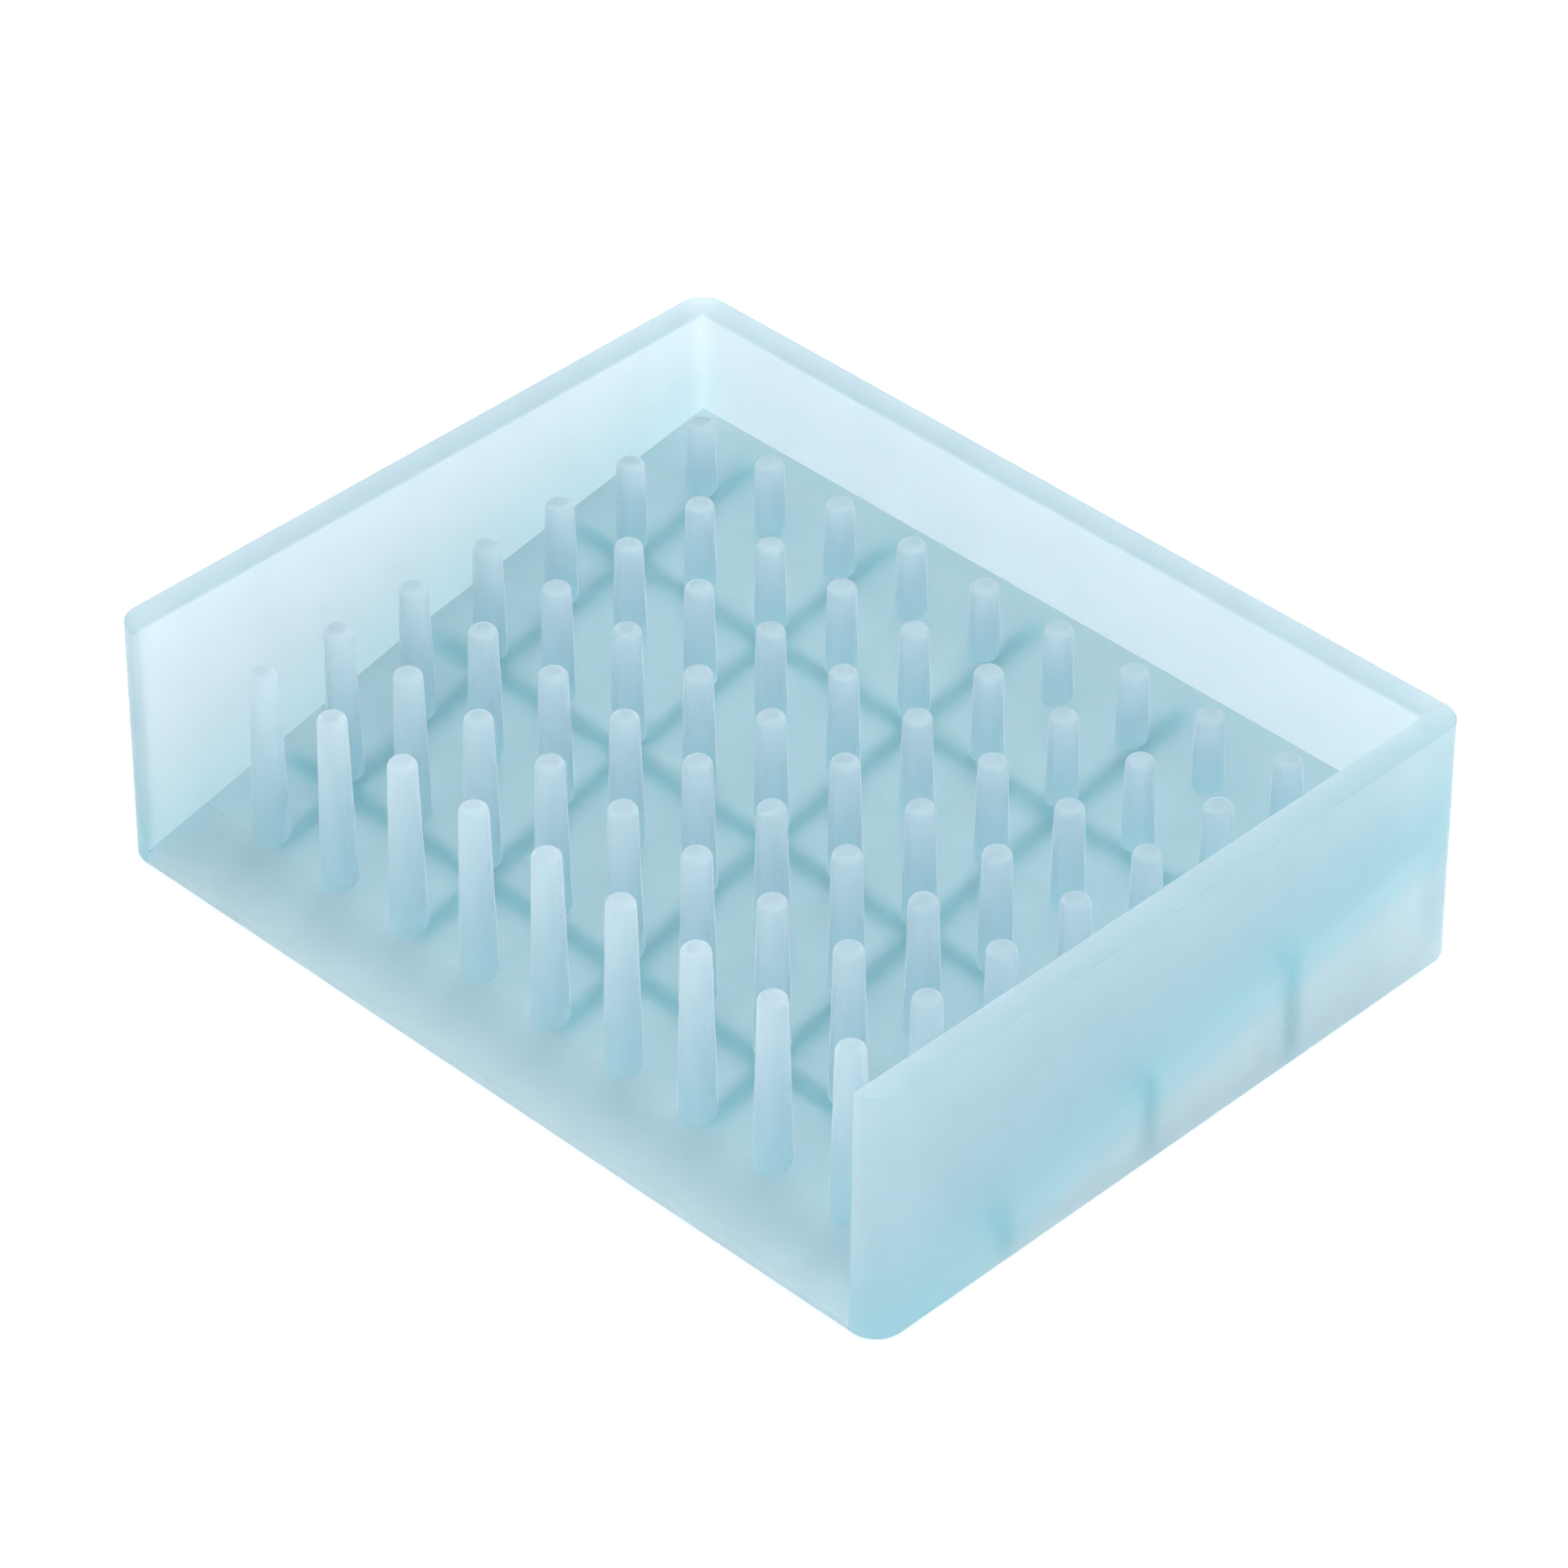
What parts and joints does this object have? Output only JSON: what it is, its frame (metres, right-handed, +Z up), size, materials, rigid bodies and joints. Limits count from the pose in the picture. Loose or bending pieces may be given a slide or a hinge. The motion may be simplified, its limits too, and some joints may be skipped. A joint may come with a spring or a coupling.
{
  "type": "test tube rack",
  "caption": "Open-fronted peg tray in translucent silicone; tubes drain upside down on upright pegs and the sloping floor runs water off the open edge.",
  "frame": {"origin": "centre of the footprint, on the bench", "axes": "+X along the longer side with the most pegs, +Y from the open pouring edge to the back wall, +Z up"},
  "size_m": [0.209, 0.163, 0.0572],
  "materials": {
    "walls": "satin frosted translucent silicone",
    "floor": "satin frosted translucent silicone",
    "ribs": "satin frosted translucent silicone",
    "pegs": "satin frosted translucent silicone"
  },
  "bodies": {
    "root": {"back_wall": "walls", "left_end_wall": "walls", "right_end_wall": "walls", "drain_floor": "floor", "pouring_lip": "floor", "front_back_rib_1": "ribs", "front_back_rib_2": "ribs", "front_back_rib_3": "ribs", "front_back_rib_4": "ribs", "front_back_rib_5": "ribs", "crosswise_rib_1": "ribs", "crosswise_rib_2": "ribs", "crosswise_rib_3": "ribs", "peg_row_1": "pegs", "peg_row_2": "pegs", "peg_row_3": "pegs", "peg_row_4": "pegs", "peg_row_5": "pegs", "peg_row_6": "pegs", "peg_row_7": "pegs"}
  },
  "joints": []
}
